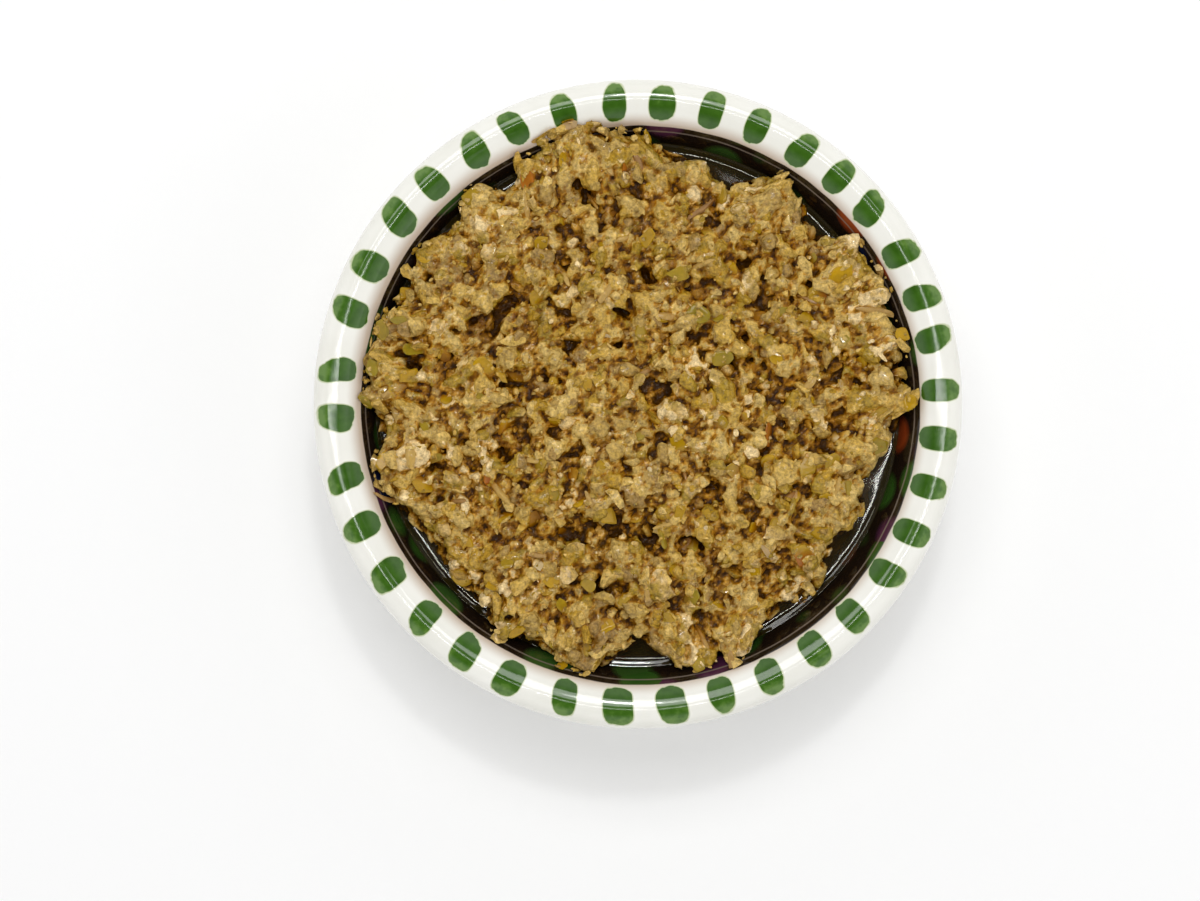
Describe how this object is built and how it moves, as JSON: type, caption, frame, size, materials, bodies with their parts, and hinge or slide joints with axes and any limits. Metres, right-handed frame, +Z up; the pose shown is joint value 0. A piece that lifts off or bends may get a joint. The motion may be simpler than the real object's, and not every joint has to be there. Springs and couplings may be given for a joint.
{
  "type": "bowl of tapenade",
  "caption": "Thick-rimmed glazed bowl on a foot ring, filled with a rough heap of chopped green olive tapenade in a shallow moat of oil.",
  "frame": {"origin": "centre of the underside of the bowl's foot ring, on the surface it stands on", "axes": "+Z up through the middle of the bowl; +X to the right and +Y to the far side of the table as seen from above; the deepest bay in the heap faces -Y"},
  "size_m": [0.14, 0.14, 0.0553],
  "materials": {
    "glaze": "glossy white glaze on stoneware, with green brush dabs on the lip and a dark painted inside",
    "olive_pulp": null,
    "oil": null
  },
  "bodies": {
    "root": {"bowl": "glaze", "tapenade": "olive_pulp", "oil": "oil"}
  },
  "joints": []
}
